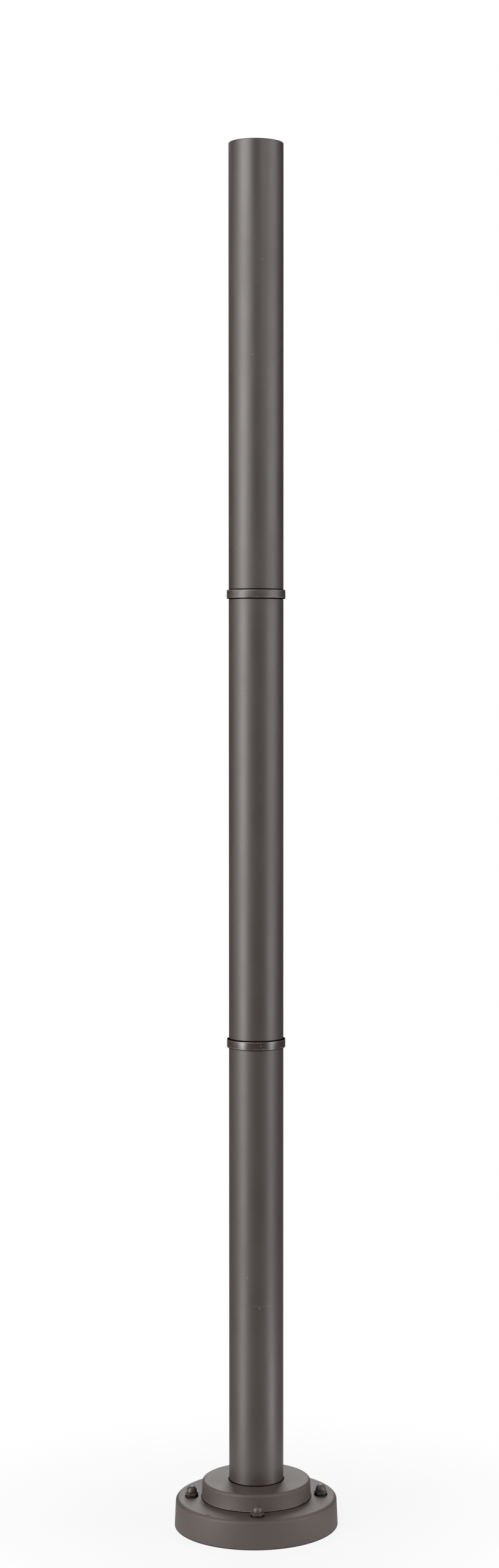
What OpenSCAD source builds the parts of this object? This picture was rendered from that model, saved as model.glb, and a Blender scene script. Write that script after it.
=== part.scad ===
// Sectional outdoor lamp post: three equal tubes with ring collars, on a round two-step base.
// Millimetres, +Z up. The origin is the centre of the base's rim, on the ground.
// The post is open at its top and down through its base, for a cable.

/* [Tubes] */
// Outside diameter of the tubes
tube_d = 76.2; // [70:0.1:82]
// Wall of the tubes
tube_wall = 2; // [1.5:0.1:3]
// Length of one tube section
tube_l = 616.5; // [300:0.5:900]
// Chamfer on the tubes' plain ends
tube_chamfer = 0.6; // [0.2:0.1:1]

/* [Joints] */
// Outside diameter of the ring collars
collar_d = 81.6; // [80:0.1:100]
// Height of a ring collar
collar_h = 12.5; // [8:0.5:40]
// Radius on the collar's outer edges
collar_round = 1.6; // [0.5:0.1:2]
// How deep the tube's end is turned down under a collar
seat_depth = 0.4; // [0.4:0.1:0.8]
// How far a tube's end reaches in under a collar
seat_l = 1; // [0.5:0.1:2]
// Length of an inner coupler
coupler_l = 110; // [60:1:200]
// Wall of the inner couplers and of the foot spigot's sleeve
sleeve_wall = 4; // [2:0.1:8]

/* [Base flange] */
// Diameter of the base at the ground
base_d = 230; // [222:1:300]
// How far the base's wall leans in over its height
base_draft = 1.9; // [0:0.1:5]
// Height of the base flange
base_h = 40; // [30:0.5:60]
// Radius on the flange's top edge
base_round = 5; // [2:0.5:8]
// Wall of the flange
base_wall = 5; // [3:0.5:8]
// Thickness of the flange's top plate
base_plate = 6; // [4:0.5:10]
// Extra thickness of the plate where the foot bolts bear
pad_t = 6; // [3:0.5:10]
// Thickness of the ribs under the plate
web_t = 5; // [3:0.5:8]
// Depth of the ribs under the plate
web_h = 20; // [8:1:24]
// Diameter of the anchor bosses
boss_d = 24; // [20:1:28]
// How far the rim stands below the bosses, so that only the rim meets the ground
rim_proud = 1; // [0.5:0.5:3]

/* [Base step] */
// Diameter of the step where it meets the flange
step_d = 154; // [140:1:158]
// How far the step's wall leans in over its height
step_draft = 0.9; // [0:0.1:3]
// Height of the step
step_h = 24.5; // [20:0.5:50]
// Radius on the step's top edge
step_round = 4; // [2:0.5:6]
// Wall of the step
step_wall = 5; // [3:0.5:8]
// Thickness of the step's top
step_plate = 5.5; // [5:0.5:8]
// Diameter of the step's solid hub
hub_d = 96; // [90:1:110]
// Depth of the socket that takes the lowest tube
socket_depth = 3; // [2:0.5:12]

/* [Foot] */
// Height of the foot spigot's sleeve above its floor
spigot_l = 60; // [30:1:120]
// Thickness of the foot spigot's floor
spigot_floor = 12; // [8:0.5:20]
// Diameter of the cable hole through the base
cable_d = 36; // [20:1:38]
// Diameter of the circle of foot bolts
foot_pcd = 55; // [54:0.5:56]
// Shank diameter of the foot bolts
foot_bolt_d = 8; // [6:0.5:9]
// Width across the flats of the foot bolts
foot_bolt_af = 13; // [10:0.5:14]
// Height of the foot bolts' heads
foot_bolt_head = 5.3; // [4:0.1:8]
// Diameter of the flange under the foot bolts' heads
foot_bolt_flange_d = 16; // [13:0.5:17]
// Thickness of the flange under the foot bolts' heads
foot_bolt_flange_t = 1.6; // [1:0.1:3]

/* [Anchors] */
// How far the circle of anchors lies inside the middle between the base's and the step's edges
anchor_inset = 10; // [6:0.5:12]
// Diameter of the anchor holes
anchor_hole_d = 11; // [9:0.5:13]
// Outside diameter of the sealing washers
washer_d = 17; // [16:0.1:20]
// Hole in the sealing washers
washer_hole_d = 10.5; // [8:0.5:12]
// Thickness of the sealing washers
washer_t = 1.2; // [0.8:0.1:3]
// Width across the flats of the cap nuts
nut_af = 16; // [14:0.5:18]
// Height of the cap nuts' hexagon
nut_hex_h = 4.5; // [4:0.5:10]
// Diameter of the cap nuts' dome
nut_dome_d = 14.4; // [12:0.1:15]
// Overall height of a cap nut
nut_h = 13.7; // [13:0.1:20]
// Tapping diameter of the cap nuts
nut_bore_d = 8.5; // [6:0.5:9]
// Depth of the cap nuts' blind bore
nut_bore_depth = 10; // [8:0.5:11]

/* [Fits] */
// Radial clearance of the inner sleeves in the tubes
sleeve_gap = 0.1; // [0.05:0.05:0.3]
// Radial clearance of the collars and the socket around the tubes
ring_gap = 0.1; // [0.05:0.05:0.3]
// Radial clearance of the foot bolts in the base
bolt_gap = 0.5; // [0.2:0.1:1]
// Radial clearance of the foot bolts in the spigot's threads
thread_gap = 0.05; // [0.05:0.05:0.1]

/* [Hidden] */
$fn = 96;

COAT = "#6b6662";
NUT_COAT = "#5c5855";
BARE = "#b9bbbd";
ZINC = "#9a9c9e";
SEAL = "#161616";

// how far a cut runs past a face, or a rib into what carries it
over = 1;
// how far the pad reaches past the foot bolts' flanges
pad_margin = 6;
// ribs under the base's plate
web_count = 8;
// slope that trims the cap nuts' corners, in degrees
nut_chamfer = 30;

tube_r = tube_d / 2;
bore_r = tube_r - tube_wall;
seat_r = tube_r - seat_depth;
sleeve_r = bore_r - sleeve_gap;
rib_r = seat_r - ring_gap;
// the coupler's rib, which the tube ends butt against
rib_t = collar_h - 2 * seat_l;

// heights of what stands on what
step_z = base_h;
foot_z = step_z + step_h - socket_depth;
spacing = tube_l + rib_t;
joint_1_z = foot_z + tube_l + rib_t / 2;
joint_2_z = joint_1_z + spacing;

// foot bolts: under the pad, up through the hub and flush with the spigot's floor
pad_z = base_h - base_plate - pad_t;
foot_bolt_z = pad_z - foot_bolt_flange_t;
foot_bolt_l = foot_z + spigot_floor - pad_z;
pad_r = (foot_pcd + foot_bolt_flange_d) / 2 + pad_margin;

// the anchors stand on the ledge round the step
anchor_pcd = (base_d + step_d) / 2 - anchor_inset;

quarter = [0, 90, 180, 270];
foot_bolt_turn = 45;

// Regular hexagon's radius to its corners
function across_corners(af) = af / sqrt(3);

// Outer half-section of a drum whose wall leans in by draft, with a rounded top edge
module drum_section(foot_r, draft, h, edge) {
    lean = atan(draft / h);
    centre = [foot_r - (h - edge) * tan(lean) - edge / cos(lean), h - edge];
    polygon([
        [0, 0], [foot_r, 0],
        centre + edge * [cos(lean), sin(lean)],
        centre, [centre[0], h], [0, h],
    ]);
    translate(centre) circle(edge);
}

// Solid turned about Z from a list of [radius, height] points
module turned(points) {
    rotate_extrude() polygon(points);
}

// Places its children on a circle, at one of the four quarters
module at_quarter(i, pcd, turn = 0) {
    rotate(quarter[i] + turn) translate([0, -pcd / 2, 0]) children();
}

module at_each_quarter(pcd, turn = 0) {
    for (i = [0 : 3]) at_quarter(i, pcd, turn) children();
}

module base_flange() color(COAT) {
    inner_h = base_h - base_plate;
    inner_r = base_d / 2 - base_wall;
    inner_top_r = inner_r - base_draft * inner_h / base_h;
    difference() {
        union() {
            rotate_extrude() difference() {
                drum_section(base_d / 2, base_draft, base_h, base_round);
                polygon([[-over, -over], [inner_r, -over], [inner_r, 0], [inner_top_r, inner_h],
                         [-over, inner_h]]);
            }
            translate([0, 0, pad_z]) cylinder(r = pad_r, h = pad_t + over);
            at_each_quarter(anchor_pcd)
                translate([0, 0, rim_proud]) cylinder(d = boss_d, h = inner_h - rim_proud + over);
            for (i = [0 : web_count - 1]) rotate(360 / web_count * i)
                translate([pad_r - over, -web_t / 2, inner_h - web_h])
                    cube([inner_top_r - pad_r + 2 * over, web_t, web_h + over]);
        }
        translate([0, 0, -over]) cylinder(d = cable_d, h = base_h + 2 * over);
        at_each_quarter(anchor_pcd)
            translate([0, 0, -over]) cylinder(d = anchor_hole_d, h = base_h + 2 * over);
        at_each_quarter(foot_pcd, foot_bolt_turn)
            translate([0, 0, -over])
                cylinder(r = foot_bolt_d / 2 + bolt_gap, h = base_h + 2 * over);
    }
}

module base_step() color(COAT) translate([0, 0, step_z]) {
    inner_h = step_h - step_plate;
    inner_r = step_d / 2 - step_wall;
    inner_top_r = inner_r - step_draft * inner_h / step_h;
    socket_z = step_h - socket_depth;
    difference() {
        rotate_extrude() difference() {
            drum_section(step_d / 2, step_draft, step_h, step_round);
            polygon([[hub_d / 2, -over], [inner_r, -over], [inner_r, 0], [inner_top_r, inner_h],
                     [hub_d / 2, inner_h]]);
            translate([-over, -over]) square([cable_d / 2 + over, step_h + 2 * over]);
            translate([-over, socket_z])
                square([tube_r + ring_gap + over, socket_depth + over]);
        }
        at_each_quarter(foot_pcd, foot_bolt_turn)
            translate([0, 0, -over])
                cylinder(r = foot_bolt_d / 2 + bolt_gap, h = socket_z + 2 * over);
    }
}

module foot_spigot() color(BARE) translate([0, 0, foot_z]) difference() {
    turned([
        [cable_d / 2, 0], [sleeve_r, 0], [sleeve_r, spigot_floor + spigot_l],
        [sleeve_r - sleeve_wall, spigot_floor + spigot_l],
        [sleeve_r - sleeve_wall, spigot_floor], [cable_d / 2, spigot_floor],
    ]);
    at_each_quarter(foot_pcd, foot_bolt_turn)
        translate([0, 0, -over])
            cylinder(r = foot_bolt_d / 2 + thread_gap, h = spigot_floor + 2 * over);
}

// Hexagon bolt with a flange under its head, standing on its head
module foot_bolt(i) color(ZINC)
    at_quarter(i, foot_pcd, foot_bolt_turn) translate([0, 0, foot_bolt_z]) {
        translate([0, 0, -foot_bolt_head]) hexagon(foot_bolt_af, foot_bolt_head, 0);
        cylinder(d = foot_bolt_flange_d, h = foot_bolt_flange_t);
        cylinder(d = foot_bolt_d, h = foot_bolt_flange_t + foot_bolt_l);
    }

// Tube standing on z; an end under a collar is turned down, and a plain end is chamfered
module tube(z, foot_seat, head_seat) color(COAT) {
    foot = foot_seat
        ? [[seat_r, 0], [seat_r, seat_l], [tube_r, seat_l]]
        : [[tube_r - tube_chamfer, 0], [tube_r, tube_chamfer]];
    head = head_seat
        ? [[tube_r, tube_l - seat_l], [seat_r, tube_l - seat_l], [seat_r, tube_l]]
        : [[tube_r, tube_l - tube_chamfer], [tube_r - tube_chamfer, tube_l]];
    translate([0, 0, z]) turned(concat([[bore_r, 0]], foot, head, [[bore_r, tube_l]]));
}

// Inner sleeve centred on z, with a rib that stands between the tube ends
module coupler(z) color(BARE)
    translate([0, 0, z]) difference() {
        union() {
            cylinder(r = sleeve_r, h = coupler_l, center = true);
            cylinder(r = rib_r, h = rib_t, center = true);
        }
        cylinder(r = sleeve_r - sleeve_wall, h = coupler_l + 2 * over, center = true);
    }

// Ring centred on z, held between the shoulders of the two tubes
module collar(z) color(COAT) {
    inner = seat_r + ring_gap;
    outer = collar_d / 2;
    translate([0, 0, z - collar_h / 2]) rotate_extrude() {
        translate([inner, 0]) square([outer - collar_round - inner, collar_h]);
        translate([inner, collar_round]) square([outer - inner, collar_h - 2 * collar_round]);
        for (y = [collar_round, collar_h - collar_round])
            translate([outer - collar_round, y]) circle(collar_round);
    }
}

module nut_washer(i) color(SEAL)
    at_quarter(i, anchor_pcd) translate([0, 0, base_h]) difference() {
        cylinder(d = washer_d, h = washer_t);
        translate([0, 0, -over]) cylinder(d = washer_hole_d, h = washer_t + 2 * over);
    }

// Hexagon prism with flats facing Y; chamfer is the slope that trims its corners, in degrees
module hexagon(af, h, chamfer) {
    corner = across_corners(af);
    trim = (corner - af / 2) * tan(chamfer);
    intersection() {
        cylinder(r = corner, h = h, $fn = 6);
        turned([[0, 0], [af / 2, 0], [corner, trim], [corner + over, trim],
                [corner + over, h - trim], [corner, h - trim], [af / 2, h], [0, h]]);
    }
}

module cap_nut(i) color(NUT_COAT)
    at_quarter(i, anchor_pcd) translate([0, 0, base_h + washer_t]) difference() {
        dome_z = nut_h - nut_dome_d / 2;
        union() {
            rotate(-quarter[i]) hexagon(nut_af, nut_hex_h, nut_chamfer);
            cylinder(d = nut_dome_d, h = dome_z);
            translate([0, 0, dome_z]) sphere(d = nut_dome_d);
        }
        translate([0, 0, -over]) cylinder(d = nut_bore_d, h = nut_bore_depth + over);
        // the half of the dome's sphere that would reach below the nut
        translate([0, 0, -nut_dome_d]) cylinder(d = nut_dome_d + over, h = nut_dome_d);
    }

base_flange();
base_step();
foot_spigot();
foot_bolt(0);  // foot_bolt_1
foot_bolt(1);  // foot_bolt_2
foot_bolt(2);  // foot_bolt_3
foot_bolt(3);  // foot_bolt_4
tube(foot_z, false, true);  // lower_tube
coupler(joint_1_z);  // lower_coupler
collar(joint_1_z);  // lower_collar
tube(joint_1_z + rib_t / 2, true, true);  // middle_tube
coupler(joint_2_z);  // upper_coupler
collar(joint_2_z);  // upper_collar
tube(joint_2_z + rib_t / 2, true, false);  // upper_tube
nut_washer(0);  // nut_washer_1
nut_washer(1);  // nut_washer_2
nut_washer(2);  // nut_washer_3
nut_washer(3);  // nut_washer_4
cap_nut(0);  // cap_nut_1
cap_nut(1);  // cap_nut_2
cap_nut(2);  // cap_nut_3
cap_nut(3);  // cap_nut_4
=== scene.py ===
"""Dresses a sectional lamp post: lathed tubes and ring collars on a cast two-step base.

Metres throughout and +Z up. The origin is the centre of the base's rim, on the ground.
"""

import logging
import math
from dataclasses import dataclass
from enum import Enum
from typing import Iterable, Optional, Sequence

import bmesh
import bpy
from mathutils import Matrix, Vector


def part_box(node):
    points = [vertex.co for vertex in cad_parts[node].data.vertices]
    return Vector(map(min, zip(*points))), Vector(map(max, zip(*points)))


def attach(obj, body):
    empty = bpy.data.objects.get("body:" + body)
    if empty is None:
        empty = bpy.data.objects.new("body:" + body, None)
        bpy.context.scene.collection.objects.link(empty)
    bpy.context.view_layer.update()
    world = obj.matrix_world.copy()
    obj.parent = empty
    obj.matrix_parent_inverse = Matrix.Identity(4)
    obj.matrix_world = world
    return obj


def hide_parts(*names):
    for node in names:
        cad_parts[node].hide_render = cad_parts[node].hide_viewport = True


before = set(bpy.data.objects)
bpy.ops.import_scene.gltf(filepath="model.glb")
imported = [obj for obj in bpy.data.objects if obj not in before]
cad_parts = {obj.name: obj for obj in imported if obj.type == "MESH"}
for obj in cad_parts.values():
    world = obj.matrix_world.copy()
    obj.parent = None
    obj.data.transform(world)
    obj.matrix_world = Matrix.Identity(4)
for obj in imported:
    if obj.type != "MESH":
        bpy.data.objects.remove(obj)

Colour = tuple[float, float, float]
Ring = tuple[float, float]
Material = bpy.types.Material
Object = bpy.types.Object
Socket = bpy.types.NodeSocket
Skin = bmesh.types.BMesh

LOG = logging.getLogger("lamp_post")
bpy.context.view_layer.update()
MM = 0.001
# The cap nuts' turns from -Y, and the foot bolts' turn past them, in degrees
QUARTERS = (0, 90, 180, 270)
FOOT_BOLT_TURN = 45
# Slope that trims the corners of nuts and bolt heads, in degrees
HEX_SLOPE = 30.0
# Corners nearer than this become one, and faces smaller than the next are dropped
WELD = 1e-7
SLIVER = 1e-14
# How near a corner lies to a ring that it belongs to
ON_RING = 2e-6
# How far a face runs straight past a rounded edge, so that its shading stays flat
HOLD = 0.5 * MM
# Turn of the camera and the lights about the post, in degrees
VIEW_TURN = -2.5
WHITE = (1.0, 1.0, 1.0, 1.0)

BRONZE: Colour = (0.061, 0.044, 0.037)
NUT_BRONZE: Colour = tuple(level * 0.86 for level in BRONZE)
DEEP_BRONZE: Colour = (0.040, 0.0275, 0.0225)
RED_BRONZE: Colour = (0.030, 0.018, 0.0145)
# Paler coat for painted highlight lines along rounded edges
EDGE_HIGHLIGHT: Colour = (0.15, 0.133, 0.124)
# Dull near-black for painted shade where parts meet and under them, and for two dark pits
SHADE_AND_PITS: Colour = (0.004, 0.0035, 0.003)
NICK: Colour = (0.34, 0.31, 0.28)
SCRATCHED: Colour = (0.2, 0.18, 0.165)
ALUMINIUM: Colour = (0.62, 0.63, 0.64)
ZINC: Colour = (0.56, 0.56, 0.54)
ZINC_BLOOM: Colour = (0.5, 0.47, 0.38)
RUBBER: Colour = (0.006, 0.006, 0.006)


def radial_span(node: str) -> float:
    """Largest radius of a CAD node that is centred on the post's axis."""
    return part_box(node)[1].x


def ring_radius(node: str) -> float:
    """Distance of a CAD node's middle from the post's axis."""
    low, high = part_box(node)
    middle = (low + high) / 2
    return math.hypot(middle.x, middle.y)


def turned(turn: float) -> Matrix:
    """Returns a turn about the post's axis, given in degrees."""
    return Matrix.Rotation(math.radians(turn), 4, "Z")


def polar(radius: float, turn: float, height: float) -> tuple[float, float, float]:
    """Returns a point at a radius, a turn from +X in degrees, and a height."""
    angle = math.radians(turn)
    return (radius * math.cos(angle), radius * math.sin(angle), height)


# ---------------------------------------------------------------- shaders


class Blend(Enum):
    """How two colours are mixed."""

    MIX = "MIX"
    MULTIPLY = "MULTIPLY"


class Wiring:
    """A node tree that is wired by short calls."""

    def __init__(self, tree: bpy.types.NodeTree) -> None:
        """Takes over a tree and empties it.

        Args:
            tree: The tree to wire.
        """
        self.tree = tree
        tree.nodes.clear()

    def put(self, value: object, socket: Socket) -> None:
        """Links an output to a socket, or sets the socket to a number or colour."""
        if isinstance(value, Socket):
            self.tree.links.new(value, socket)
        else:
            socket.default_value = value

    def fill(self, node: bpy.types.Node, **values: object) -> bpy.types.Node:
        """Fills a node's inputs.

        Args:
            node: The node.
            **values: What the inputs get, by name, with underscores for spaces.

        Returns:
            The node.
        """
        for name, value in values.items():
            self.put(value, node.inputs[name.replace("_", " ")])
        return node

    def add(self, kind: str, **values: object) -> bpy.types.Node:
        """Adds a node of a kind and fills its inputs."""
        return self.fill(self.tree.nodes.new(kind), **values)

    def math(self, how: str, a: object, b: object = 0.0) -> Socket:
        """Works out one step of arithmetic.

        Args:
            how: The operation's name.
            a: The first number or output.
            b: The second number or output.

        Returns:
            The result's output.
        """
        node = self.add("ShaderNodeMath")
        node.operation = how
        self.put(a, node.inputs[0])
        self.put(b, node.inputs[1])
        return node.outputs[0]

    def hypot(self, a: object, b: object) -> Socket:
        """Returns the length of the slope over two sides at a right angle."""
        squares = (self.math("MULTIPLY", side, side) for side in (a, b))
        return self.math("SQRT", self.math("ADD", *squares))

    def ramp(self, value: object, low: float, high: float, start: float, end: float,
             soft: bool = True) -> Socket:
        """Maps a number from one range to another and clamps it.

        Args:
            value: The number to map.
            low: Where the range starts.
            high: Where the range ends.
            start: The result at low.
            end: The result at high.
            soft: Whether the ends ease in.

        Returns:
            The mapped number's output.
        """
        node = self.add("ShaderNodeMapRange")
        node.interpolation_type = "SMOOTHSTEP" if soft else "LINEAR"
        for value_in, socket in zip((value, low, high, start, end), node.inputs):
            self.put(value_in, socket)
        return node.outputs[0]

    def seen(self, gloss_share: float) -> Socket:
        """Tells whether a ray shows the stage, straight or by gloss or glass.

        Args:
            gloss_share: How much of it shows in gloss.

        Returns:
            The share's output.
        """
        path = self.add("ShaderNodeLightPath").outputs
        gloss = self.math("MULTIPLY", path["Is Glossy Ray"], gloss_share)
        plain = self.math("MAXIMUM", path["Is Camera Ray"], path["Is Transmission Ray"])
        return self.math("MAXIMUM", plain, gloss)


class Sheet(Wiring):
    """One material's nodes."""

    def __init__(self, name: str) -> None:
        """Starts an empty material with an output and one main shader.

        Args:
            name: The material's name.
        """
        self.material = bpy.data.materials.new(name)
        self.material.use_nodes = True
        super().__init__(self.material.node_tree)
        self.output = self.add("ShaderNodeOutputMaterial")
        self.surface = self.add("ShaderNodeBsdfPrincipled")
        self.show(self.surface.outputs[0])
        self.place = self.add("ShaderNodeTexCoord").outputs["Object"]

    def show(self, shader: Socket) -> None:
        """Makes a shader the one that the material shows."""
        self.put(shader, self.output.inputs["Surface"])

    def finished(self, **values: object) -> Material:
        """Fills the main shader's inputs and returns the material."""
        self.fill(self.surface, **values)
        return self.material

    def noise(self, scale: float, detail: float = 2.0, rough: float = 0.5) -> Socket:
        """Cloudy noise over the piece.

        Args:
            scale: Features in a metre.
            detail: Octaves.
            rough: Share that each octave keeps.

        Returns:
            The noise's output, about 0.5 in the mean.
        """
        node = self.add("ShaderNodeTexNoise", Vector=self.place, Scale=scale, Detail=detail,
                        Roughness=rough)
        return node.outputs["Fac"]

    def mix(self, share: object, a: object, b: object, how: Blend = Blend.MIX) -> Socket:
        """Mixes two colours.

        Args:
            share: How much of the second shows.
            a: The first colour.
            b: The second colour.
            how: The way they are mixed.

        Returns:
            The mixed colour's output.
        """
        node = self.add("ShaderNodeMix")
        node.data_type = "RGBA"
        node.blend_type = how.value
        colour_a, colour_b = (s for s in node.inputs if s.type == "RGBA")
        self.put(share, node.inputs[0])
        for value, socket in ((a, colour_a), (b, colour_b)):
            self.put((*value, 1.0) if isinstance(value, tuple) else value, socket)
        return next(s for s in node.outputs if s.type == "RGBA")

    def axes(self) -> tuple[Socket, ...]:
        """Returns the place's X, Y and Z outputs."""
        return tuple(self.add("ShaderNodeSeparateXYZ", Vector=self.place).outputs)

    def distance(self, point: Sequence[float]) -> Socket:
        """Returns the distance to a point."""
        node = self.add("ShaderNodeVectorMath")
        node.operation = "DISTANCE"
        self.put(self.place, node.inputs[0])
        node.inputs[1].default_value = tuple(point)
        return node.outputs["Value"]

    def bump(self, height: object, depth: float, strength: float,
             under: Optional[Socket] = None) -> Socket:
        """Raises the surface by a height.

        Args:
            height: The height's output, from 0 to 1.
            depth: What a height of 1 stands for, in metres.
            strength: How much of it shows.
            under: A bump that this one lies on.

        Returns:
            The normal's output.
        """
        node = self.add("ShaderNodeBump", Height=height, Distance=depth, Strength=strength)
        if under is not None:
            self.put(under, node.inputs["Normal"])
        return node.outputs[0]

    def layered(self, share: Socket, under: Socket, over: Socket) -> Socket:
        """Lays one shader over another.

        Args:
            share: How much of the upper one shows.
            under: The lower shader.
            over: The upper shader.

        Returns:
            The result's output.
        """
        mix = self.add("ShaderNodeMixShader")
        for value, socket in zip((share, under, over), mix.inputs):
            self.put(value, socket)
        return mix.outputs[0]

    def glow(self, strength: float) -> Socket:
        """Returns the output of a white glow."""
        return self.add("ShaderNodeEmission", Color=WHITE, Strength=strength).outputs[0]

    def cover(self, share: Socket, colour: Colour) -> None:
        """Covers part of the surface with a dull, near-black layer: painted shade, and dark pits.

        Args:
            share: How much of the dark layer shows.
            colour: The dark layer's colour.
        """
        dark_layer = self.add("ShaderNodeBsdfPrincipled", Base_Color=(*colour, 1.0), Roughness=1.0,
                        Specular_IOR_Level=0.0)
        self.show(self.layered(share, self.surface.outputs[0], dark_layer.outputs[0]))


# ---------------------------------------------------------------- finishes


@dataclass(frozen=True)
class RingMark:
    """A ring-shaped line on a piece, round an upright axis."""

    radius: float
    height: float
    reach: float
    core: float = 0.6
    centre: tuple[float, float] = (0.0, 0.0)

    def mask(self, sheet: Sheet) -> Socket:
        """Finds the share of the surface that the line covers.

        Args:
            sheet: The material's nodes.

        Returns:
            The mask's output.
        """
        x, y, z = sheet.axes()
        off = (sheet.math("SUBTRACT", axis, middle) for axis, middle in zip((x, y), self.centre))
        across = sheet.math("SUBTRACT", sheet.hypot(*off), self.radius)
        along = sheet.math("SUBTRACT", z, self.height)
        away = sheet.hypot(across, along)
        return sheet.ramp(away, self.reach * self.core, self.reach, 1.0, 0.0)


@dataclass(frozen=True)
class Chip:
    """A small spot where the coat is chipped."""

    place: tuple[float, float, float]
    size: float

    def mask(self, sheet: Sheet) -> Socket:
        """Finds the share of the surface that the spot covers, with a ragged edge.

        Args:
            sheet: The material's nodes.

        Returns:
            The mask's output.
        """
        edge = sheet.math("MULTIPLY", sheet.noise(900.0, 1.0), self.size * 0.5)
        reach = sheet.math("ADD", sheet.distance(self.place), edge)
        return sheet.ramp(reach, self.size, self.size * 0.7, 0.0, 1.0)


def covered(sheet: Sheet, marks: Sequence[RingMark | Chip]) -> Socket:
    """Finds the share of the surface that any of some marks covers.

    Args:
        sheet: The material's nodes.
        marks: The marks, at least one.

    Returns:
        The share's output.
    """
    share = marks[0].mask(sheet)
    for mark in marks[1:]:
        share = sheet.math("MAXIMUM", share, mark.mask(sheet))
    return share


@dataclass(frozen=True)
class Scratch:
    """A fine rubbed line round part of a tube, between two turns about the axis."""

    height: float
    start: float
    end: float
    sag: float
    width: float

    def mask(self, sheet: Sheet, broken: Socket) -> Socket:
        """Finds the share of the surface that the scratch covers.

        Args:
            sheet: The material's nodes.
            broken: Noise that breaks the line up.

        Returns:
            The mask's output.
        """
        x, y, z = sheet.axes()
        turn = sheet.math("ARCTAN2", y, x)
        start, end = math.radians(self.start), math.radians(self.end)
        middle, half = (start + end) / 2, (end - start) / 2
        off = sheet.math("DIVIDE", sheet.math("SUBTRACT", turn, middle), half)
        curve = sheet.math("MULTIPLY", sheet.math("MULTIPLY", off, off), self.sag)
        level = sheet.math("SUBTRACT", sheet.math("SUBTRACT", z, curve), self.height)
        away = sheet.math("ABSOLUTE", level)
        across = sheet.ramp(away, self.width * 0.3, self.width, 1.0, 0.0)
        along = sheet.ramp(sheet.math("ABSOLUTE", off), 0.8, 1.0, 1.0, 0.0)
        share = sheet.math("MULTIPLY", across, along)
        return sheet.math("MULTIPLY", share, sheet.ramp(broken, 0.35, 0.6, 0.15, 0.7))


@dataclass(frozen=True)
class Shade:
    """How one kind of piece takes the coat."""

    colour: Colour
    roughness: float
    gloss: float
    grain: float
    index: float = 1.5


CASTING = Shade(BRONZE, roughness=0.62, gloss=0.7, grain=0.4)
TUBING = Shade(DEEP_BRONZE, roughness=0.48, gloss=1.0, grain=0.35, index=1.55)
RING = Shade(DEEP_BRONZE, roughness=0.42, gloss=1.0, grain=0.3, index=1.55)
RED_RING = Shade(RED_BRONZE, roughness=0.31, gloss=1.0, grain=0.3, index=1.55)
NUT = Shade(NUT_BRONZE, roughness=0.48, gloss=0.8, grain=0.35)


@dataclass(frozen=True)
class PowderCoat:
    """Satin powder coat with a fine grain, painted shade in its seams and paler painted
    highlights along its edges.
    """

    name: str
    shade: Shade
    # Painted shade where parts meet and under them, and dark pits
    shade_and_pits: tuple[RingMark | Chip, ...]
    painted_highlights: tuple[RingMark, ...] = ()
    chips: tuple[Chip, ...] = ()
    scratches: tuple[Scratch, ...] = ()
    uneven: float = 0.03
    grain_depth: float = 0.06 * MM
    chip_depth: float = 0.2 * MM

    def material(self) -> Material:
        """Builds the coat's material."""
        sheet = Sheet(self.name)
        cloud = sheet.noise(9.0, 4.0, 0.55)
        fine = sheet.noise(420.0, 3.0, 0.6)
        sand = sheet.noise(1500.0, 2.0, 0.5)
        tone = sheet.ramp(cloud, 0.3, 0.7, 0.94, 1.06)
        tone = sheet.math("MULTIPLY", tone, sheet.ramp(fine, 0.25, 0.75, 0.93, 1.07))
        grey = sheet.add("ShaderNodeCombineColor", Red=tone, Green=tone, Blue=tone)
        colour = sheet.mix(1.0, self.shade.colour, grey.outputs[0], Blend.MULTIPLY)
        # Painted highlights: paler lines along edges, broken up by noise
        if self.painted_highlights:
            patchy = sheet.ramp(sheet.noise(110.0, 3.0, 0.6), 0.38, 0.62, 0.05, 0.85)
            share = sheet.math("MULTIPLY", covered(sheet, self.painted_highlights), patchy)
            colour = sheet.mix(share, colour, EDGE_HIGHLIGHT)
        # Painted shade: a dull near-black layer over seams and under parts, and over two pits
        sheet.cover(covered(sheet, self.shade_and_pits), SHADE_AND_PITS)
        height = sheet.math("ADD", sand, sheet.math("MULTIPLY", fine, 0.6))
        normal = sheet.bump(height, self.grain_depth, self.shade.grain)
        for line in self.scratches:
            colour = sheet.mix(line.mask(sheet, fine), colour, SCRATCHED)
        for chip in self.chips:
            mask = chip.mask(sheet)
            colour = sheet.mix(mask, colour, NICK)
            normal = sheet.bump(sheet.math("SUBTRACT", 1.0, mask), self.chip_depth, 0.6, normal)
        rough = self.shade.roughness
        return sheet.finished(
            Base_Color=colour, Normal=normal,
            Specular_IOR_Level=self.shade.gloss, IOR=self.shade.index,
            Roughness=sheet.ramp(cloud, 0.3, 0.7, rough - self.uneven, rough + self.uneven))


@dataclass(frozen=True)
class TurnedMetal:
    """Bare metal with the fine rings that a lathe leaves."""

    name: str
    roughness: float = 0.34
    pitch: float = 0.4 * MM

    def material(self) -> Material:
        """Builds the metal's material."""
        sheet = Sheet(self.name)
        cloud = sheet.noise(30.0, 3.0)
        height = sheet.axes()[2]
        rings = sheet.math("SINE", sheet.math("MULTIPLY", height, math.tau / self.pitch))
        return sheet.finished(
            Base_Color=sheet.mix(sheet.ramp(cloud, 0.35, 0.7, 0.0, 0.35), ALUMINIUM,
                                 tuple(c * 0.75 for c in ALUMINIUM)), Metallic=1.0,
            Roughness=sheet.ramp(cloud, 0.3, 0.7, self.roughness - 0.06, self.roughness + 0.08),
            Normal=sheet.bump(sheet.ramp(rings, -1.0, 1.0, 0.0, 1.0), 0.02 * MM, 0.4))


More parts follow.
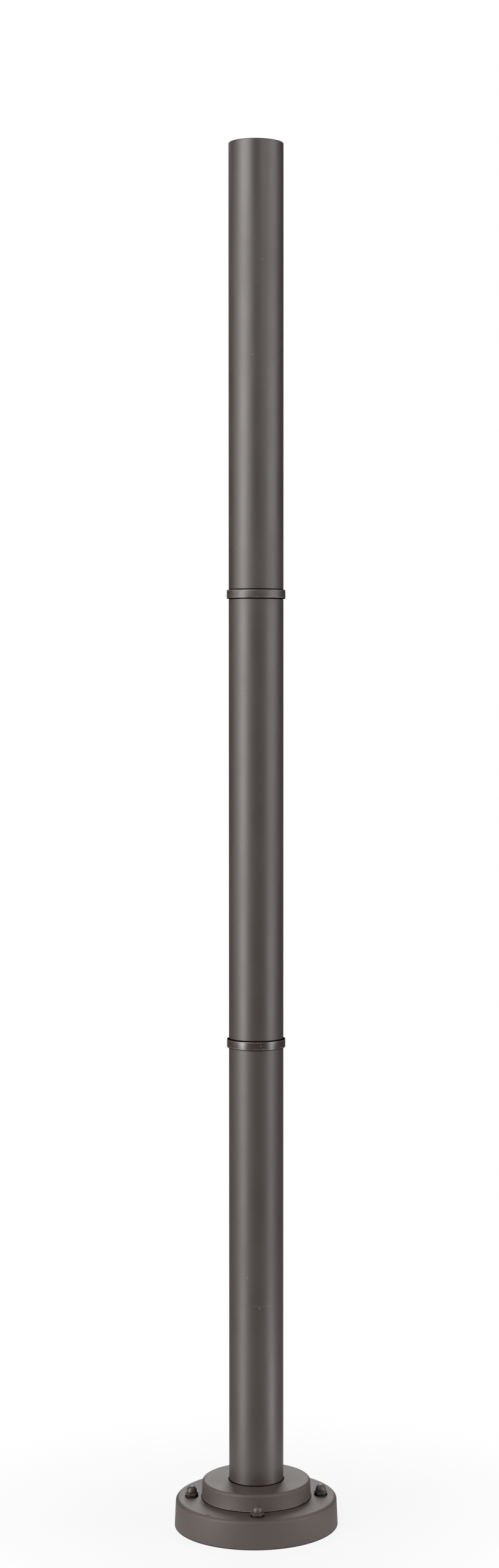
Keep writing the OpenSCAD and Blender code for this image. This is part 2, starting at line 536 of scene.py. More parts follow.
@dataclass(frozen=True)
class ZincPlate:
    """Zinc plate with a mottled, slightly yellowed bloom."""

    name: str
    roughness: float = 0.3

    def material(self) -> Material:
        """Builds the plate's material."""
        sheet = Sheet(self.name)
        cloud = sheet.noise(160.0, 4.0, 0.6)
        return sheet.finished(
            Base_Color=sheet.mix(sheet.ramp(cloud, 0.4, 0.65, 0.0, 0.6), ZINC, ZINC_BLOOM),
            Roughness=sheet.ramp(cloud, 0.3, 0.7, self.roughness, self.roughness + 0.15),
            Normal=sheet.bump(sheet.noise(900.0), 0.03 * MM, 0.3), Metallic=1.0)


@dataclass(frozen=True)
class SealRubber:
    """Black sealing rubber with a faint bloom."""

    name: str
    roughness: float = 0.8

    def material(self) -> Material:
        """Builds the rubber's material."""
        sheet = Sheet(self.name)
        cloud = sheet.noise(300.0, 3.0)
        return sheet.finished(
            Base_Color=sheet.mix(sheet.ramp(cloud, 0.4, 0.7, 0.0, 0.5), RUBBER,
                                 tuple(c * 1.8 for c in RUBBER)),
            Roughness=sheet.ramp(cloud, 0.3, 0.7, self.roughness - 0.05, self.roughness + 0.05),
            Normal=sheet.bump(sheet.noise(1200.0), 0.04 * MM, 0.4))


# ---------------------------------------------------------------- shapes


class Cut(Enum):
    """How one closed shape is combined with another."""

    TAKE_AWAY = "DIFFERENCE"
    ADD = "UNION"
    KEEP_COMMON = "INTERSECT"


@dataclass(frozen=True)
class Rounding:
    """A radius on the ring-shaped edge at one point of a section."""

    ring: Ring
    radius: float
    steps: int = 3

    def meets(self, vert: bmesh.types.BMVert) -> bool:
        """Tells whether a corner lies on the ring."""
        radius, height = self.ring
        return (abs(math.hypot(vert.co.x, vert.co.y) - radius) < ON_RING
                and abs(vert.co.z - height) < ON_RING)


def bevel(mesh: Skin, edges: list[bmesh.types.BMEdge], radius: float, steps: int = 2) -> None:
    """Rounds some edges of a mesh.

    Args:
        mesh: The mesh.
        edges: Its edges that get a radius.
        radius: The radius.
        steps: Facets across it.
    """
    bmesh.ops.bevel(mesh, geom=edges, offset=radius, offset_type="OFFSET", segments=steps,
                    profile=0.5, affect="EDGES", material=-1, clamp_overlap=True)


def spun(section: Sequence[Ring], steps: int, roundings: Iterable[Rounding] = ()) -> Skin:
    """Turns a closed section about Z.

    Args:
        section: Radius and height of each corner, in order.
        steps: Facets round the axis.
        roundings: The edges that get a radius.

    Returns:
        The closed skin, with its faces pointing outwards.
    """
    mesh = bmesh.new()
    corners = [mesh.verts.new((radius, 0.0, height)) for radius, height in section]
    sides = [mesh.edges.new(pair) for pair in zip(corners, corners[1:] + corners[:1])]
    bmesh.ops.spin(mesh, geom=corners + sides, cent=(0, 0, 0), axis=(0, 0, 1),
                   angle=math.tau, steps=steps, use_merge=True)
    bmesh.ops.remove_doubles(mesh, verts=mesh.verts, dist=WELD)
    flat = [f for f in mesh.faces if f.calc_area() < SLIVER]
    if flat:
        bmesh.ops.delete(mesh, geom=flat, context="FACES")
    for rounding in roundings:
        edges = [e for e in mesh.edges if all(rounding.meets(v) for v in e.verts)]
        bevel(mesh, edges, rounding.radius, rounding.steps)
    bmesh.ops.recalc_face_normals(mesh, faces=mesh.faces)
    return mesh


def block(low: Vector, high: Vector, edge: float) -> Skin:
    """Makes a box with rounded edges at its foot.

    Args:
        low: Its lowest corner.
        high: Its highest corner.
        edge: Radius on its lower edges.

    Returns:
        The closed box.
    """
    mesh = bmesh.new()
    size, middle = high - low, (high + low) / 2
    bmesh.ops.create_cube(mesh, size=1.0, matrix=Matrix.Translation(middle)
                          @ Matrix.Diagonal((*size, 1.0)))
    bevel(mesh, [e for e in mesh.edges if all(v.co.z < middle.z for v in e.verts)], edge)
    bmesh.ops.recalc_face_normals(mesh, faces=mesh.faces)
    return mesh


def moved(mesh: Skin, turn: float, out: float = 0.0) -> Skin:
    """Moves a shape out along -Y, then turns it about the post's axis."""
    bmesh.ops.transform(mesh, verts=mesh.verts, matrix=turned(turn)
                        @ Matrix.Translation((0, -out, 0)))
    return mesh


def linked(name: str, data: bpy.types.ID) -> Object:
    """Puts a mesh, a light or a camera into the scene as an object."""
    thing = bpy.data.objects.new(name, data)
    bpy.context.scene.collection.objects.link(thing)
    return thing


def made_object(name: str, mesh: Skin) -> Object:
    """Turns a bmesh into an object of the scene."""
    data = bpy.data.meshes.new(name)
    mesh.to_mesh(data)
    mesh.free()
    return linked(name, data)


def combine(body: Object, shape: Skin, how: Cut) -> None:
    """Combines a body with a closed shape, and keeps the result as the body's mesh.

    Args:
        body: The object that is changed.
        shape: The shape to add, take away or intersect with.
        how: What is done with it.
    """
    tool = made_object("tool", shape)
    modifier = body.modifiers.new(how.name, "BOOLEAN")
    modifier.object = tool
    modifier.operation = how.value
    modifier.solver = "EXACT"
    graph = bpy.context.evaluated_depsgraph_get()
    result = bpy.data.meshes.new_from_object(body.evaluated_get(graph))
    body.modifiers.clear()
    before, body.data = body.data, result
    spent = tool.data
    bpy.data.objects.remove(tool)
    bpy.data.meshes.remove(spent)
    bpy.data.meshes.remove(before)
    body.data.name = body.name


def hex_body(name: str, flats: float, tall: float, edge: float, steps: int, both: bool) -> Object:
    """Makes an upright hexagonal body with its corners trimmed by a cone.

    Args:
        name: The body's name.
        flats: Width across its flats.
        tall: Height of its head.
        edge: Radius on its upright edges.
        steps: Facets round the cone.
        both: Whether its head is trimmed as its foot is.

    Returns:
        The body.
    """
    half, corner = flats / 2, flats / math.sqrt(3)
    mesh = bmesh.new()
    bmesh.ops.create_circle(mesh, cap_ends=True, segments=6, radius=corner, matrix=turned(-90))
    made = bmesh.ops.extrude_face_region(mesh, geom=mesh.faces[:])
    bmesh.ops.translate(mesh, vec=(0, 0, tall),
                        verts=[g for g in made["geom"] if isinstance(g, bmesh.types.BMVert)])
    bevel(mesh, [e for e in mesh.edges if e.verts[0].co.z != e.verts[1].co.z], edge)
    bmesh.ops.recalc_face_normals(mesh, faces=mesh.faces)
    body = made_object(name, mesh)
    wide = corner + MM
    rise = (wide - half) * math.tan(math.radians(HEX_SLOPE))
    head = [(wide, tall - rise), (half, tall), (0, tall)]
    if not both:
        head = [(wide, tall + MM), (0, tall + MM)]
    combine(body, spun([(0, 0), (half, 0), (wide, rise), *head], steps), Cut.KEEP_COMMON)
    return body


@dataclass(frozen=True)
class Dressing:
    """What every piece of the post needs before it is shown."""

    slot: str
    crease: float = 30.0

    def dress(self, piece: Object, material: Material, *nodes: str) -> Object:
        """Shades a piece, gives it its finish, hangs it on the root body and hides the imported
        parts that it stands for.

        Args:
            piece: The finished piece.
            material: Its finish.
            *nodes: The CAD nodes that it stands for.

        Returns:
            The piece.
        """
        piece.data.materials.clear()
        piece.data.materials.append(material)
        piece.data.shade_smooth()
        piece.data.set_sharp_from_angle(angle=math.radians(self.crease))
        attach(piece, "root")
        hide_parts(*nodes)
        LOG.info("%s: %d faces, stands for %s", piece.name, len(piece.data.polygons),
                 ", ".join(nodes))
        return piece


COAT_PIECE = Dressing("bronze_coat")
NUT_PIECE = Dressing("nut_coat")
SEAL_PIECE = Dressing("black_seal")
ZINC_PIECE = Dressing("zinc_steel")


# ---------------------------------------------------------------- the post's parts


@dataclass
class Tube:
    """One lathed tube of the post, turned down at each end that a collar covers."""

    node: str
    foot_collar: Optional[str]
    head_collar: Optional[str]
    chips: tuple[Chip, ...] = ()
    scratches: tuple[Scratch, ...] = ()
    wall: float = 2.0 * MM
    seat_depth: float = 0.4 * MM
    seam: float = 0.7 * MM
    tight_head: bool = False
    lip: float = 0.6 * MM
    edge: float = 0.25 * MM
    hold: float = 0.8 * MM
    # Reach of the painted shade lines at the tube's foot and head, and of the dark line round its
    # top rim
    foot_shade: float = 1.3 * MM
    head_shade: float = 1.0 * MM
    rim_line: float = 0.7 * MM
    steps: int = 192

    def shape(self) -> Skin:
        """Turns the tube from its section."""
        low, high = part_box(self.node)
        outer, bore = high.x, high.x - self.wall
        seat = outer - self.seat_depth
        section: list[Ring] = [(bore, low.z)]
        roundings: list[Rounding] = []
        if self.foot_collar:
            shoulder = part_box(self.foot_collar)[1].z + self.seam
            section += [(seat, low.z), (seat, shoulder), (outer, shoulder),
                        (outer, shoulder + self.hold)]
            roundings.append(Rounding((outer, shoulder), self.edge))
        else:
            section += [(outer - self.lip, low.z), (outer, low.z + self.lip)]
        if self.head_collar:
            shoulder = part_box(self.head_collar)[0].z - (0 if self.tight_head else self.seam)
            section += [(outer, shoulder - self.hold), (outer, shoulder), (seat, shoulder),
                        (seat, high.z)]
            roundings.append(Rounding((outer, shoulder), self.edge))
        else:
            section += [(outer, high.z - self.lip - self.hold), (outer, high.z - self.lip),
                        (outer - self.lip, high.z)]
            roundings += [Rounding((outer, high.z - self.lip), self.edge, 2),
                          Rounding((outer - self.lip, high.z), self.edge, 2)]
        section.append((bore, high.z))
        roundings.append(Rounding((bore, high.z), self.edge, 2))
        return spun(section, self.steps, roundings)

    def joints(self) -> tuple[RingMark, ...]:
        """Returns painted shade lines where the tube's wall meets a collar or the step, and a
        dark line round its top rim.
        """
        low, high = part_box(self.node)
        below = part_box(self.foot_collar or "base_step")[1].z
        found = [RingMark(high.x, below, self.foot_shade)]
        if self.head_collar and not self.tight_head:
            found.append(RingMark(high.x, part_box(self.head_collar)[0].z, self.head_shade))
        if not self.head_collar:
            half = self.lip / 2
            found.append(RingMark(high.x - half, high.z - half, self.rim_line))
        return tuple(found)

    def build(self) -> Object:
        """Builds and dresses the tube."""
        coat = PowderCoat(f"{self.node}_coat", TUBING, self.joints(), (), self.chips,
                          self.scratches)
        piece = made_object(f"lathed_{self.node}", self.shape())
        return COAT_PIECE.dress(piece, coat.material(), self.node)


@dataclass
class RingCollar:
    """A ring that covers the joint of two tubes, with rounded outer edges."""

    node: str
    shade: Shade = RING
    chips: tuple[Chip, ...] = ()
    bore: float = 37.8 * MM
    mouth: float = 0.7 * MM
    edge: float = 1.2 * MM
    # Inset and reach of the painted shade at each end, and how far in from each end the painted
    # highlights lie
    foot_shade: Ring = (0.9 * MM, 1.4 * MM)
    head_shade: Ring = (1.6 * MM, 1.8 * MM)
    highlight_line: Ring = (1.8 * MM, 1.4 * MM)
    steps: int = 192

    def shape(self) -> Skin:
        """Turns the ring from its section."""
        low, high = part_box(self.node)
        outer, mouth = high.x, self.mouth
        section = [(self.bore + mouth, low.z), (outer, low.z), (outer, high.z),
                   (self.bore + mouth, high.z), (self.bore, high.z - mouth),
                   (self.bore, low.z + mouth)]
        return spun(section, self.steps, [Rounding((outer, low.z), self.edge, 8),
                                          Rounding((outer, high.z), self.edge, 8)])

    def build(self) -> Object:
        """Builds and dresses the collar."""
        low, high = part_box(self.node)
        rim = high.x
        # Painted shade at both ends where the collar meets the tubes, and painted highlights
        # along its rounded edges
        joints = tuple(RingMark(rim - inset, level, reach) for level, (inset, reach)
                       in ((low.z, self.foot_shade), (high.z, self.head_shade)))
        painted_highlights = tuple(RingMark(rim, level, 0.8 * MM, 0.4) for level
                       in (low.z + self.highlight_line[0], high.z - self.highlight_line[1]))
        coat = PowderCoat(f"{self.node}_coat", self.shade, joints, painted_highlights, self.chips)
        piece = made_object(f"turned_{self.node}", self.shape())
        return COAT_PIECE.dress(piece, coat.material(), self.node)


@dataclass
class BaseFlange:
    """The wide cast foot: a drafted shell with bosses, ribs and a pad under its top."""

    node: str = "base_flange"
    draft: float = 1.9 * MM
    shoulder: float = 5.0 * MM
    wall: float = 5.0 * MM
    plate: float = 6.0 * MM
    pad: float = 6.0 * MM
    pad_radius: float = 41.5 * MM
    pit_radius: float = 108.6 * MM
    boss_radius: float = 12.0 * MM
    rib: float = 5.0 * MM
    rib_depth: float = 20.0 * MM
    cable_radius: float = 18.0 * MM
    anchor_radius: float = 5.5 * MM
    bolt_radius: float = 4.5 * MM
    rim_proud: float = 1.0 * MM
    steps: int = 256

    def shell(self) -> Skin:
        """Turns the foot's shell, with its shoulder and its rim rounded."""
        low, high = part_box(self.node)
        foot, top = high.x, high.z
        head = foot - self.draft
        hold = self.shoulder + HOLD
        under = top - self.plate
        inner = foot - self.wall
        inner_head = inner - self.draft * under / top
        section = [
            (inner, low.z), (foot, low.z), (head + self.draft * hold / top, top - hold),
            (head, top), (head - hold, top), (self.cable_radius, top),
            (self.cable_radius, under - self.pad), (self.pad_radius, under - self.pad),
            (self.pad_radius, under), (inner_head, under),
        ]
        return spun(section, self.steps, [
            Rounding((head, top), self.shoulder, 12), Rounding((foot, low.z), 0.7 * MM),
            Rounding((inner, low.z), 0.7 * MM), Rounding((inner_head, under), 3.0 * MM, 4),
            Rounding((self.pad_radius, under), 2.0 * MM),
            Rounding((self.pad_radius, under - self.pad), MM),
            Rounding((self.cable_radius, top), 0.5 * MM, 2),
            Rounding((self.cable_radius, under - self.pad), 0.5 * MM, 2),
        ])

    def build(self) -> Object:
        """Builds and dresses the foot."""
        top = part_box(self.node)[1].z
        under = top - self.plate
        inner = radial_span(self.node) - self.wall - self.draft
        piece = made_object("cast_base_flange", self.shell())
        for turn in range(0, 360, 45):
            start = Vector((-self.rib / 2, self.pad_radius - 1.5 * MM, under - self.rib_depth))
            end = Vector((self.rib / 2, inner + 2.0 * MM, under + MM))
            combine(piece, moved(block(start, end, MM), turn), Cut.ADD)
        anchors, bolts = ring_radius("cap_nut_1"), ring_radius("foot_bolt_1")
        low, head = self.rim_proud, under + MM
        for turn in QUARTERS:
            boss = spun([(0, low), (self.boss_radius, low), (self.boss_radius - 0.4 * MM, head),
                         (0, head)], 64, [Rounding((self.boss_radius, low), MM)])
            combine(piece, moved(boss, turn, anchors), Cut.ADD)
        for turn in QUARTERS:
            anchor_hole = self._hole(self.anchor_radius, low, top)
            combine(piece, moved(anchor_hole, turn, anchors), Cut.TAKE_AWAY)
            bolt_hole = self._hole(self.bolt_radius, under - self.pad, top)
            combine(piece, moved(bolt_hole, turn + FOOT_BOLT_TURN, bolts), Cut.TAKE_AWAY)
        coat = PowderCoat("base_flange_coat", CASTING, self.shade_and_pits(top))
        return COAT_PIECE.dress(piece, coat.material(), self.node)

    @staticmethod
    def _hole(radius: float, low: float, high: float) -> Skin:
        """Makes a hole's cutter, a little wider at both mouths."""
        lip, over = 0.4 * MM, 2.0 * MM
        return spun([(0, low - over), (radius + lip + over, low - over),
                     (radius, low + lip), (radius, high - lip),
                     (radius + lip + over, high + over), (0, high + over)], 48)

    def shade_and_pits(self, top: float) -> tuple[RingMark | Chip, ...]:
        """Returns painted shade at the step's seam, along the rim on the ground and round each
        washer, and two dark pits on the ledge.
        """
        washers = [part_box(f"nut_washer_{i + 1}") for i in range(len(QUARTERS))]
        return (RingMark(radial_span("base_step"), top, MM),
                RingMark(radial_span(self.node), 0.0, 1.4 * MM),
                *(RingMark((high - low).x / 2, top, 1.6 * MM, centre=tuple(((low + high) / 2).xy))
                  for low, high in washers),
                *(Chip(polar(self.pit_radius, turn, top), 1.9 * MM) for turn in (-129.4, -127.6)))


@dataclass
class BaseStep:
    """The upper step of the base, with the socket that takes the lowest tube."""

    node: str = "base_step"
    draft: float = 0.9 * MM
    shoulder: float = 4.0 * MM
    wall: float = 5.0 * MM
    plate: float = 5.5 * MM
    hub_radius: float = 48.0 * MM
    socket: float = 38.2 * MM
    mouth: float = 0.5 * MM
    bead: float = 0.9 * MM
    cable_radius: float = 18.0 * MM
    bolt_radius: float = 4.5 * MM
    steps: int = 256

    @property
    def floor(self) -> float:
        """Height of the socket's floor, which the lowest tube stands on."""
        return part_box("lower_tube")[0].z

    def shell(self) -> Skin:
        """Turns the step with its hub, socket and rounded shoulder."""
        low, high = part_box(self.node)
        foot, top, tall = high.x, high.z, high.z - low.z
        head = foot - self.draft
        hold = self.shoulder + HOLD
        inner = foot - self.wall
        under = top - self.plate
        inner_head = inner - self.draft * (under - low.z) / tall
        bead = self.bead
        section = [
            (self.cable_radius, low.z), (self.hub_radius, low.z), (self.hub_radius, under),
            (inner_head, under), (inner, low.z), (foot - bead, low.z),
            (foot, low.z + bead * 0.8), (foot, low.z + bead * 1.5),
            (foot - bead * 0.3, low.z + bead * 2.1),
            (head + self.draft * hold / tall, top - hold), (head, top), (head - hold, top),
            (self.socket + self.mouth, top), (self.socket, top - self.mouth),
            (self.socket, self.floor), (self.cable_radius, self.floor),
        ]
        return spun(section, self.steps, [
            Rounding((head, top), self.shoulder, 12),
            Rounding((foot, low.z + bead * 0.8), bead * 0.3, 2),
            Rounding((foot, low.z + bead * 1.5), bead * 0.3, 2)])

    def build(self) -> Object:
        """Builds and dresses the step."""
        low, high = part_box(self.node)
        piece = made_object("cast_base_step", self.shell())
        for turn in QUARTERS:
            hole = spun([(0, low.z - MM), (self.bolt_radius, low.z - MM),
                         (self.bolt_radius, self.floor + MM), (0, self.floor + MM)], 32)
            combine(piece, moved(hole, turn + FOOT_BOLT_TURN, ring_radius("foot_bolt_1")),
                    Cut.TAKE_AWAY)
        # Painted shade at the socket's mouth and under the foot bead, and a painted highlight
        # along the bead
        joints = (RingMark(self.socket, high.z, 1.6 * MM),
                  RingMark(high.x - self.bead, low.z, self.bead * 0.7))
        painted_highlights = RingMark(high.x, low.z + self.bead, self.bead * 1.2, 0.5)
        nick = Chip(polar(75.7 * MM, -108.5, 62.8 * MM), 0.9 * MM)
        coat = PowderCoat("base_step_coat", CASTING, joints, (painted_highlights,), (nick,))
        return COAT_PIECE.dress(piece, coat.material(), self.node)


@dataclass
class Anchor:
    """A cap nut on its sealing washer, at one quarter of the base."""

    index: int
    flats: float = 16.0 * MM
    hexagon: float = 4.5 * MM
    dome: float = 14.4 * MM
    neck: float = 0.35 * MM
    edge: float = 0.35 * MM
    tapping: float = 8.5 * MM
    thread: float = 10.0 * MM
    depth: float = 10.0 * MM
    pitch: float = 1.5 * MM
    washer_bore: float = 5.25 * MM

    def nut_shape(self) -> Object:
        """Cuts the hexagon, adds the dome and bores the thread."""
        low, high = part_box(f"cap_nut_{self.index + 1}")
        tall, radius = high.z - low.z, self.dome / 2
        piece = hex_body(f"cap_nut_{self.index + 1}_painted", self.flats, self.hexagon,
                         self.edge, 96, True)
        root = radius + self.neck
        arc = [polar(radius, turn, 0.0) for turn in range(0, 90, 5)]
        cap = spun([(0, self.hexagon - MM), (root, self.hexagon - MM), (root, self.hexagon),
                    (radius, self.hexagon + self.neck),
                    *((x, tall - radius + y) for x, y, _ in arc), (0, tall)], 64)
        combine(piece, cap, Cut.ADD)
        combine(piece, self._threaded_bore(), Cut.TAKE_AWAY)
        piece.data.transform(Matrix.Translation((0, 0, low.z)))
        return piece

    def _threaded_bore(self) -> Skin:
        """Makes the blind bore's cutter, with a groove for each turn of the thread."""
        root, crest = self.thread / 2 - 0.1 * MM, self.tapping / 2
        turns = int((self.depth - MM) / self.pitch)
        section: list[Ring] = [(0, -MM), (self.thread / 2 + 0.4 * MM, -MM),
                               (self.thread / 2 + 0.2 * MM, 0.0)]
        for i in range(turns):
            start = 0.4 * MM + i * self.pitch
            section += [(crest, start + 0.2 * MM), (root, start + self.pitch / 2),
                        (crest, start + self.pitch - 0.2 * MM)]
        return spun(section + [(crest, self.depth), (0, self.depth)], 48)

    def build(self) -> None:
        """Builds and dresses the nut and its washer."""
        nut_node, washer_node = f"cap_nut_{self.index + 1}", f"nut_washer_{self.index + 1}"
        turn = QUARTERS[self.index]
        out = Matrix.Translation((0, -ring_radius(nut_node), 0))
        place = turned(turn) @ out @ turned(-turn)
        nut = self.nut_shape()
        nut.data.transform(place)
        low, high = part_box(nut_node)
        middle = tuple(((low + high) / 2).xy)
        half, head = self.flats / 2, low.z + self.hexagon
        # Painted shade where the dome meets the hexagon and under the nut, and a painted
        # highlight round the hexagon's top edge
        joints = (RingMark(self.dome / 2, head, 0.7 * MM, centre=middle),
                  RingMark(half, low.z, 1.2 * MM, centre=middle))
        painted_highlights = RingMark(half + 0.5 * MM, head - 0.3 * MM, 0.7 * MM, 0.3, middle)
        coat = PowderCoat(f"{nut_node}_coat", NUT, joints, (painted_highlights,))
        NUT_PIECE.dress(nut, coat.material(), nut_node)
        low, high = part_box(washer_node)
        inner, outer = self.washer_bore, (high - low).x / 2
        washer = spun([(inner, low.z), (outer, low.z), (outer, high.z), (inner, high.z)], 64,
                      [Rounding((outer, high.z), self.edge), Rounding((outer, low.z), self.edge)])
        bmesh.ops.transform(washer, verts=washer.verts, matrix=place)
        rubber = SealRubber(f"{washer_node}_rubber")
        SEAL_PIECE.dress(made_object(f"{washer_node}_moulded", washer), rubber.material(),
                         washer_node)


@dataclass
class FootBolt:
    """A flanged hexagon bolt that holds the foot spigot to the base from below."""

    index: int
    flats: float = 13.0 * MM
    head: float = 5.3 * MM
    flange: float = 8.0 * MM
    flange_thickness: float = 1.6 * MM
    shank: float = 4.0 * MM

    def build(self) -> Object:
        """Builds and dresses the bolt."""
        node = f"foot_bolt_{self.index + 1}"
        low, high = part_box(node)
        seat = self.head + self.flange_thickness
        piece = hex_body(f"{node}_plated", self.flats, self.head + 0.5 * MM, 0.25 * MM, 64, False)
        tall, neck = high.z - low.z, self.flats / 2 - 0.2 * MM
        tip = 0.8 * MM
        stem = spun([(0, self.head - MM), (neck, self.head - MM), (neck, self.head),
                     (self.flange, self.head + 0.5 * MM), (self.flange, seat),
                     (self.shank, seat), (self.shank, tall - tip), (self.shank - tip, tall),
                     (0, tall)], 64)
        combine(piece, stem, Cut.ADD)
        turn = QUARTERS[self.index] + FOOT_BOLT_TURN
        piece.data.transform(turned(turn) @ Matrix.Translation((0, -ring_radius(node), low.z)))
        plate = ZincPlate(f"{node}_zinc")
        return ZINC_PIECE.dress(piece, plate.material(), node)


@dataclass
class Post:
    """The post's whole set of pieces."""

    wall: float = 38.1 * MM
    nick_size: float = 0.9 * MM

    def nick(self, turn: float, height: float) -> Chip:
        """Returns a pale nick on a tube's wall."""
        return Chip(polar(self.wall, turn, height), self.nick_size)

    def build(self) -> None:
        """Builds every piece, from the ground up."""
        BaseFlange().build()
        BaseStep().build()
        for index in range(len(QUARTERS)):
            Anchor(index).build()
            FootBolt(index).build()
        self.inner_pieces()
        Tube("lower_tube", None, "lower_collar",
             (self.nick(-109.5, 0.358), self.nick(-84.5, 0.3155)),
             (Scratch(0.318, -98.5, -55.5, 1.2 * MM, 0.5 * MM),),
             tight_head=True).build()
        RingCollar("lower_collar", RED_RING,
                   (Chip(polar(40.8 * MM, -81.9, 0.6836), 0.8 * MM),)).build()
        Tube("middle_tube", "lower_collar", "upper_collar",
             (self.nick(-122.1, 1.180),)).build()
        RingCollar("upper_collar").build()
        Tube("upper_tube", "upper_collar", None,
             (self.nick(-78.3, 1.768), self.nick(-98.0, 1.638), self.nick(-33.2, 1.6325),
              self.nick(-134.5, 1.374), self.nick(-126.5, 1.355))).build()

    @staticmethod
    def inner_pieces() -> None:
        """Gives the couplers and the spigot, whose solids stay, their turned finish."""
        for node in ("foot_spigot", "lower_coupler", "upper_coupler"):
            metal = TurnedMetal(f"{node}_metal")
            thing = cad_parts[node]
            for slot in thing.material_slots:
                slot.material = metal.material()
            LOG.info("%s keeps its solid", node)


# ---------------------------------------------------------------- studio


@dataclass(frozen=True)
class Softbox:
    """A rectangular studio light that faces a point on the post."""

    name: str
    turn: float
    distance: float
    height: float
    aim: float
    wide: float
    tall: float
    power: float

    def build(self) -> None:
        """Hangs the light."""
        data = bpy.data.lights.new(self.name, "AREA")
        data.shape = "RECTANGLE"
        data.size, data.size_y = self.wide, self.tall
        data.energy = self.power
        light = linked(self.name, data)
        angle = math.radians(self.turn + VIEW_TURN)
        light.location = (self.distance * math.sin(angle), -self.distance * math.cos(angle),
                          self.height)
        aim = Vector((0, 0, self.aim)) - light.location
        light.rotation_euler = aim.to_track_quat("-Z", "Y").to_euler()
        light.visible_camera = False


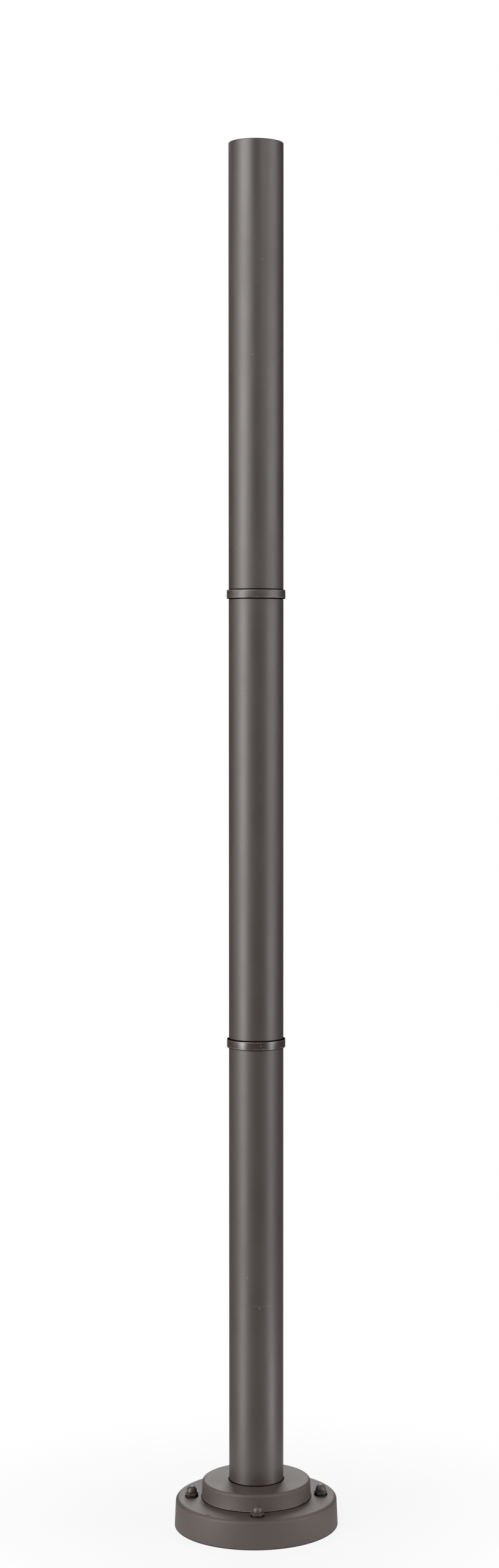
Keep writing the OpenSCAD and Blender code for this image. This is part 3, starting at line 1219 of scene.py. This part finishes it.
@dataclass(frozen=True)
class Studio:
    """Camera, pale floor, white backdrop and soft light."""

    lens: float = 59.86
    side: float = 0.0959
    back: float = 3.637
    height: float = 1.2069
    pitch: float = 2.53
    shift: float = -0.0481
    roll: float = -0.055
    backdrop_level: float = 4.2
    backdrop_place: tuple[float, float, float] = (0.0, 6.0, 2.8)
    backdrop_half: tuple[float, float] = (1.1, 1.6)
    floor_radius: float = 14.0
    floor_grey: float = 0.5
    floor_fade: tuple[float, float, float] = (0.15, 0.6, 0.88)
    floor_gloss: float = 0.1
    floor_shade: float = 0.7
    world_gloss: float = 0.03
    world_level: float = 0.01

    def build(self) -> None:
        """Sets the whole stage."""
        bpy.context.scene.view_settings.view_transform = "Standard"
        self.camera()
        self.floor()
        self.backdrop()
        self.world()
        for light in (
            Softbox("left_strip", -54, 3.5, 1.5, 1.2, 0.9, 3.0, 54.0),
            Softbox("left_wide", -68, 3.5, 1.5, 1.2, 0.9, 3.0, 22.0),
            Softbox("left_near", -45, 3.5, 1.5, 1.2, 0.9, 3.0, 12.0),
            Softbox("right_strip", 58, 3.5, 1.5, 1.2, 0.8, 3.0, 22.0),
            Softbox("right_wide", 70, 3.5, 1.5, 1.2, 0.9, 3.0, 15.5),
            Softbox("right_side", 86, 2.6, 1.6, 1.4, 0.6, 2.0, 11.0),
            Softbox("left_side", -90, 2.6, 1.5, 1.3, 0.6, 2.2, 7.0),
            Softbox("left_upper", -48, 3.0, 3.0, 1.6, 0.9, 0.9, 14.0),
            Softbox("left_high", -30, 3.0, 2.6, 0.8, 0.8, 0.8, 21.5),
            Softbox("right_high", 30, 3.0, 2.6, 0.8, 0.8, 0.8, 12.0),
            Softbox("right_top", 90, 2.0, 3.2, 0.3, 1.0, 1.5, 11.5),
            Softbox("back_top", 180, 2.8, 3.0, 0.2, 1.2, 1.2, 57.0),
            Softbox("back_left_top", -145, 2.4, 3.0, 0.2, 1.0, 1.0, 11.0),
            Softbox("left_low", -57, 0.5, 0.1, 0.1, 0.15, 0.16, 0.34),
            Softbox("right_low", 68, 0.5, 0.08, 0.06, 0.15, 0.12, 0.4),
            Softbox("left_knee", -54, 1.5, 0.34, 0.38, 0.4, 0.55, 2.3),
            Softbox("right_knee", 65, 1.5, 0.34, 0.38, 0.45, 0.55, 2.1),
            Softbox("floor_bounce", 0, 0.0, 0.001, 1.0, 0.55, 0.55, 0.5),
        ):
            light.build()

    def camera(self) -> None:
        """Places the camera at eye height, a little to the right."""
        data = bpy.data.cameras.new("camera")
        data.sensor_width = 36.0
        data.lens = self.lens
        data.shift_x = self.shift
        eye = linked("camera", data)
        eye.location = turned(VIEW_TURN) @ Vector((self.side, -self.back, self.height))
        eye.rotation_euler = (math.radians(90.0 - self.pitch), math.radians(self.roll),
                              math.radians(VIEW_TURN))
        bpy.context.scene.camera = eye

    def floor(self) -> None:
        """Lays a pale floor that fades to white away from the post and is dim in gloss."""
        mesh = bmesh.new()
        bmesh.ops.create_circle(mesh, cap_ends=True, segments=96, radius=self.floor_radius)
        floor = made_object("floor", mesh)
        sheet = Sheet("pale_floor")
        pale = sheet.finished(Base_Color=(*[self.floor_grey] * 3, 1.0), Roughness=0.9,
                              Specular_IOR_Level=0.0)
        gloss = sheet.add("ShaderNodeLightPath").outputs["Is Glossy Ray"]
        shade = sheet.math("MULTIPLY", gloss, self.floor_shade)
        dimmed = sheet.layered(shade, sheet.surface.outputs[0], sheet.glow(0.0))
        start, end, level = self.floor_fade
        fade = sheet.ramp(sheet.distance((0, 0, 0)), start, end, level, 1.0)
        share = sheet.math("MULTIPLY", fade, sheet.seen(self.floor_gloss))
        sheet.show(sheet.layered(share, dimmed, sheet.glow(1.0)))
        floor.data.materials.append(pale)

    def backdrop(self) -> None:
        """Hangs a narrow white backdrop far behind the post."""
        mesh = bmesh.new()
        bmesh.ops.create_grid(mesh, x_segments=1, y_segments=1, size=1.0)
        upright = Matrix.Rotation(math.radians(90), 4, "X")
        bmesh.ops.transform(mesh, verts=mesh.verts, matrix=turned(VIEW_TURN)
                            @ Matrix.Translation(self.backdrop_place) @ upright
                            @ Matrix.Diagonal((*self.backdrop_half, 1, 1)))
        backdrop = made_object("backdrop", mesh)
        sheet = Sheet("white_backdrop")
        sheet.show(sheet.glow(self.backdrop_level))
        backdrop.data.materials.append(sheet.material)
        backdrop.visible_camera = False
        backdrop.visible_diffuse = False
        backdrop.visible_shadow = False

    def world(self) -> None:
        """Makes the surroundings white to the eye and a dim grey to the post."""
        world = bpy.data.worlds.new("studio")
        bpy.context.scene.world = world
        world.use_nodes = True
        wires = Wiring(world.node_tree)
        seen = wires.seen(self.world_gloss)
        level = wires.ramp(seen, 0.0, 1.0, self.world_level, 1.0, soft=False)
        light = wires.add("ShaderNodeBackground", Color=WHITE, Strength=level)
        wires.add("ShaderNodeOutputWorld", Surface=light.outputs[0])


def main() -> None:
    """Builds the studio and the post."""
    logging.basicConfig(level=logging.INFO, format="%(name)s: %(message)s")
    Studio().build()
    Post().build()


if __name__ == "__main__":
    main()
